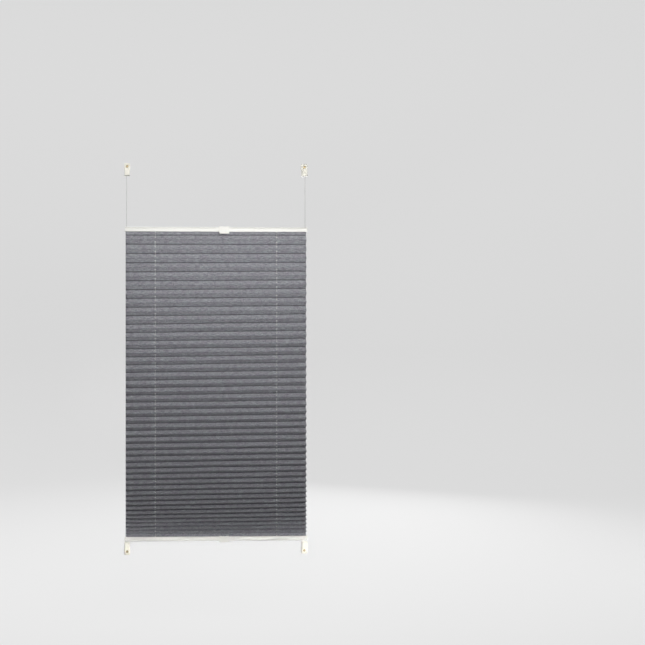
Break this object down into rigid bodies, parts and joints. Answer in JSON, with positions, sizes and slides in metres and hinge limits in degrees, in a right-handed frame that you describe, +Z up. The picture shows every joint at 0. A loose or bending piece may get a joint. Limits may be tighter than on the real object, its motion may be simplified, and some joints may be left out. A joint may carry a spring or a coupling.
{
  "type": "pleated blind",
  "caption": "Pleated window blind on two tensioned cords: both rails slide and the dark fabric folds between them, held by four screwed corner brackets.",
  "frame": {"origin": "middle of the four fixing screws, in the plane of the bracket backs", "axes": "+X across the blind to the right seen from the room, +Y through the wall side, so the room is at -Y, +Z up"},
  "size_m": [0.605, 0.049, 1.286],
  "materials": {
    "pleated_fabric": "dark slate grey crushed polyester, permanently pleated",
    "cord": "light grey braided polyester",
    "rail_coating": "off-white powder coat on extruded aluminium",
    "cap_plastic": "off-white moulded",
    "guide_plastic": "white acetal",
    "strip_plastic": "white extruded",
    "handle_plastic": "off-white moulded",
    "bracket_plastic": "off-white moulded",
    "shoe_plastic": "off-white moulded",
    "stop_plastic": "white moulded",
    "screw_metal": "yellow zinc-plated"
  },
  "bodies": {
    "brackets": {"pleated_fabric": "pleated_fabric", "left_tension_cord": "cord", "right_tension_cord": "cord", "upper_left_bracket_base": "bracket_plastic", "upper_left_cord_shoe": "shoe_plastic", "upper_left_cord_stop": "stop_plastic", "upper_left_screw": "screw_metal", "upper_right_bracket_base": "bracket_plastic", "upper_right_cord_shoe": "shoe_plastic", "upper_right_cord_stop": "stop_plastic", "upper_right_screw": "screw_metal", "lower_left_bracket_base": "bracket_plastic", "lower_left_cord_shoe": "shoe_plastic", "lower_left_cord_stop": "stop_plastic", "lower_left_screw": "screw_metal", "lower_right_bracket_base": "bracket_plastic", "lower_right_cord_shoe": "shoe_plastic", "lower_right_cord_stop": "stop_plastic", "lower_right_screw": "screw_metal"},
    "top_rail_unit": {"top_rail": "rail_coating", "top_fabric_strip": "strip_plastic", "top_handle": "handle_plastic", "top_left_end_cap": "cap_plastic", "top_left_cord_guide": "guide_plastic", "top_right_end_cap": "cap_plastic", "top_right_cord_guide": "guide_plastic"},
    "bottom_rail_unit": {"bottom_rail": "rail_coating", "bottom_fabric_strip": "strip_plastic", "bottom_handle": "handle_plastic", "bottom_left_end_cap": "cap_plastic", "bottom_left_cord_guide": "guide_plastic", "bottom_right_end_cap": "cap_plastic", "bottom_right_cord_guide": "guide_plastic"}
  },
  "joints": [
    {"name": "top_rail_slide", "type": "slide", "parent": "brackets", "child": "top_rail_unit", "axis": [0, 0, 1], "range_m": [-0.46, 0.165], "deforming": ["pleated_fabric", "left_tension_cord", "right_tension_cord"]},
    {"name": "bottom_rail_slide", "type": "slide", "parent": "brackets", "child": "bottom_rail_unit", "axis": [0, 0, 1], "range_m": [-0.004, 0.44], "deforming": ["pleated_fabric", "left_tension_cord", "right_tension_cord"]}
  ]
}
